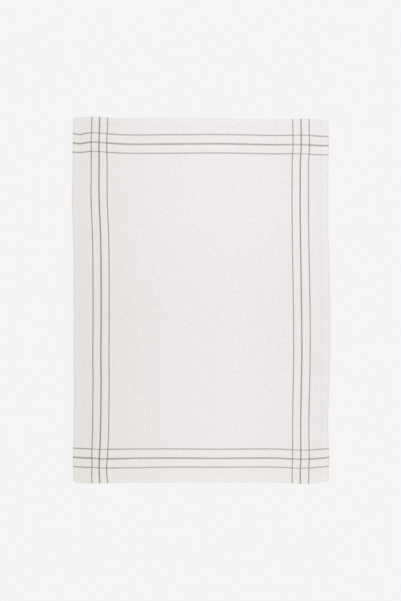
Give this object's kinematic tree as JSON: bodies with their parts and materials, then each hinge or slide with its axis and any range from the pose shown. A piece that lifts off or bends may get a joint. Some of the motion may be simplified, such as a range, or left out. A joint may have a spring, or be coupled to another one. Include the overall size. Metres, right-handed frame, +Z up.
{
  "type": "tea towel",
  "caption": "Flat rectangular tea towel in plain-woven off-white cloth, with a frame of grey stripes that cross at the corners and narrow stitched hems, for drying dishes.",
  "frame": {"origin": "middle of the towel's box, on the surface that it lies on", "axes": "+Y along the towel's length, +X across it, +Z up out of the face that shows"},
  "size_m": [0.4964, 0.7056, 0.0027],
  "materials": {
    "woven_cloth": "matte plain weave"
  },
  "bodies": {
    "root": {"tea_towel": "woven_cloth"}
  },
  "joints": []
}
